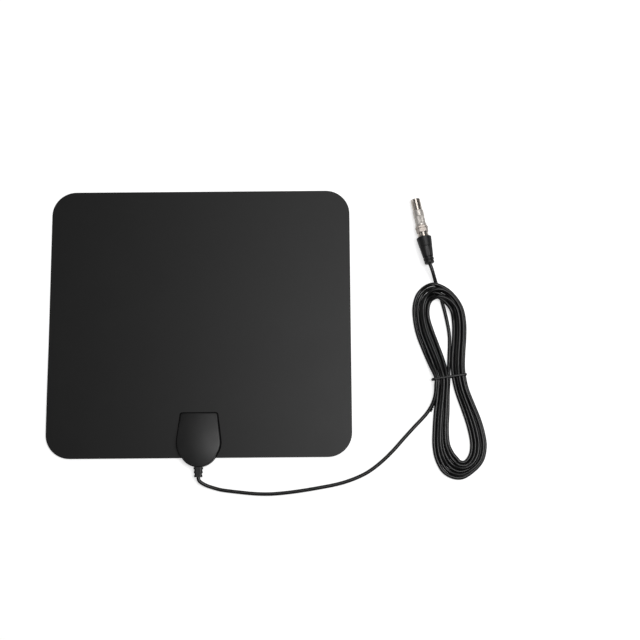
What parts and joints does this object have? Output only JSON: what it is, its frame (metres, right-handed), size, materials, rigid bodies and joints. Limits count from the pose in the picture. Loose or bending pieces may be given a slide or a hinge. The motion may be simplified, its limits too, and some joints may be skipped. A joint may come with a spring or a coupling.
{
  "type": "flat indoor television antenna",
  "caption": "Flat film television antenna with a moulded pod, a long thin lead in a tied hank, and a metal aerial plug on an adapter.",
  "frame": {"origin": "on the table, under the middle of the box round the sheet, pod and strain relief", "axes": "+X along the sheet's width towards the hank and plug, +Y from the pod up the sheet, +Z out of the front face"},
  "size_m": [0.4304, 0.305, 0.0153],
  "materials": {
    "rear_film": "matte, fine grain",
    "front_film": "matte, fine grain",
    "foil": "rolled foil",
    "pod_plastic": "fine spark-eroded texture, slight sheen",
    "screw_steel": "plated",
    "board": "solder mask",
    "ferrite": "sintered, dull",
    "copper": "bare copper",
    "chip_body": "moulded",
    "contact_brass": "turned",
    "relief_rubber": "moulded, satin",
    "lead_jacket": "extruded jacket, satin",
    "tie_plastic": "coated wire, satin",
    "boot_rubber": "moulded, satin",
    "nickel": "bright nickel plate",
    "nickel_satin": "satin nickel plate",
    "insulation": "white plastic"
  },
  "bodies": {
    "root": {"rear_film": "rear_film", "front_film": "front_film", "left_element": "foil", "right_element": "foil", "pod_base": "pod_plastic", "pod_cover": "pod_plastic", "cover_screws": "screw_steel", "circuit_board": "board", "balun_core": "ferrite", "balun_winding": "copper", "chip_parts": "chip_body", "left_contact": "contact_brass", "right_contact": "contact_brass", "strain_relief": "relief_rubber", "lead_end": "lead_jacket", "lead_shield": "copper", "lead_conductor": "insulation", "antenna_lead": "lead_jacket", "lead_hank": "lead_jacket", "hank_tie": "tie_plastic", "lead_tail": "lead_jacket", "plug_boot": "boot_rubber", "plug_ferrule": "nickel", "coupling_nut": "nickel", "plug_lead_end": "lead_jacket", "plug_conductor": "copper", "adapter_body": "nickel", "adapter_collar": "nickel_satin", "adapter_sleeve": "nickel", "adapter_pin": "contact_brass", "pin_insulator": "insulation", "socket_insulator": "insulation"}
  },
  "joints": []
}
